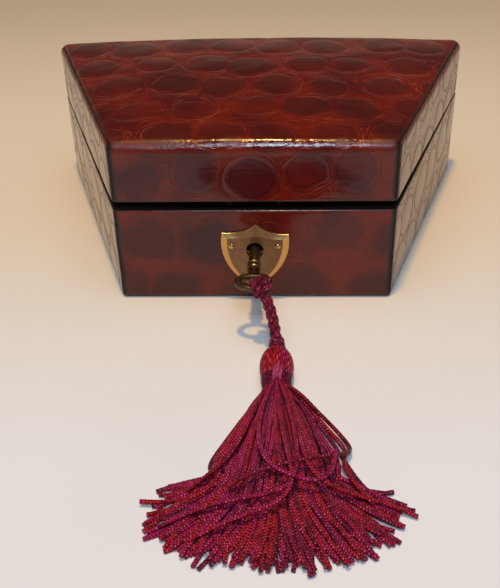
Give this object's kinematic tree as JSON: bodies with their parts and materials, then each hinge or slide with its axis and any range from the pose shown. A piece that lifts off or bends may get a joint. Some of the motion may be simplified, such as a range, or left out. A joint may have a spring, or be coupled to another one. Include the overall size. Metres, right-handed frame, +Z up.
{
  "type": "jewellery case",
  "caption": "Leather-covered jewellery case, wider at the back, with a hinged lid, a box lock behind a shield-shaped keyhole plate, a key in the lock and a silk tassel on the key.",
  "frame": {"origin": "middle of the case's underside, on the surface it stands on, halfway between front and back", "axes": "+X along the case's width, to the right seen from the front; +Y from the front to the hinges; +Z up"},
  "size_m": [0.1696, 0.2272, 0.064],
  "materials": {
    "crocodile_leather": "glossy oxblood crocodile leather",
    "rim_leather": "black skived leather",
    "board": "plain softwood board",
    "velvet": "deep red velvet",
    "lid_silk": "quilted red silk",
    "brass": "worn polished brass",
    "lock_steel": "bright filed steel",
    "aged_iron": "dark aged iron, rubbed on the rings",
    "tassel_silk": "crimson silk cord and chainette"
  },
  "bodies": {
    "case": {"base_front_leather": "crocodile_leather", "base_rear_leather": "crocodile_leather", "base_left_leather": "crocodile_leather", "base_right_leather": "crocodile_leather", "base_rim_facing": "rim_leather", "base_bottom_cover": "rim_leather", "base_board": "board", "base_front_wall": "board", "base_rear_wall": "board", "base_left_wall": "board", "base_right_wall": "board", "base_pad": "velvet", "base_lining_front": "velvet", "base_lining_rear": "velvet", "base_lining_left": "velvet", "base_lining_right": "velvet", "keyhole_plate": "brass", "keyhole_plate_pins": "brass", "lock_plate": "brass", "lock_screws": "brass", "hinge_base_leaf_left": "brass", "hinge_base_leaf_right": "brass", "hinge_base_screws": "brass", "hinge_pin_left": "brass", "hinge_pin_right": "brass", "lock_cap": "lock_steel", "lock_post": "lock_steel", "lock_spring": "lock_steel", "tassel_cord": "tassel_silk", "tassel_collar": "tassel_silk", "tassel_head": "tassel_silk", "tassel_binding": "tassel_silk", "tassel_skirt": "tassel_silk"},
    "lid": {"lid_wrap_leather": "crocodile_leather", "lid_left_leather": "crocodile_leather", "lid_right_leather": "crocodile_leather", "lid_rim_facing": "rim_leather", "lid_board": "board", "lid_front_wall": "board", "lid_rear_wall": "board", "lid_left_wall": "board", "lid_right_wall": "board", "lid_pad": "lid_silk", "lid_lining_front": "lid_silk", "lid_lining_rear": "lid_silk", "lid_lining_left": "lid_silk", "lid_lining_right": "lid_silk", "link_plate": "brass", "link_screws": "brass", "hinge_lid_leaf_left": "brass", "hinge_lid_leaf_right": "brass", "hinge_lid_screws": "brass"},
    "key": {"key": "aged_iron", "tassel_loop": "tassel_silk"},
    "bolt": {"lock_bolt": "lock_steel"}
  },
  "joints": [
    {"name": "lid_hinge", "type": "hinge", "parent": "case", "child": "lid", "pos_m": [0, 0.0481, 0.03825], "axis": [-1, 0, 0], "range_deg": [0, 100]},
    {"name": "key_turn", "type": "hinge", "parent": "case", "child": "key", "pos_m": [0, -0.0505, 0.022], "axis": [0, 1, 0], "range_deg": [-90, 90]},
    {"name": "bolt_slide", "type": "slide", "parent": "case", "child": "bolt", "axis": [1, 0, 0], "range_m": [-0.0025, 0.0025]}
  ],
  "couplings": [
    {"joint": "key_turn", "follows": "bolt_slide", "rad_per_m": 628}
  ]
}
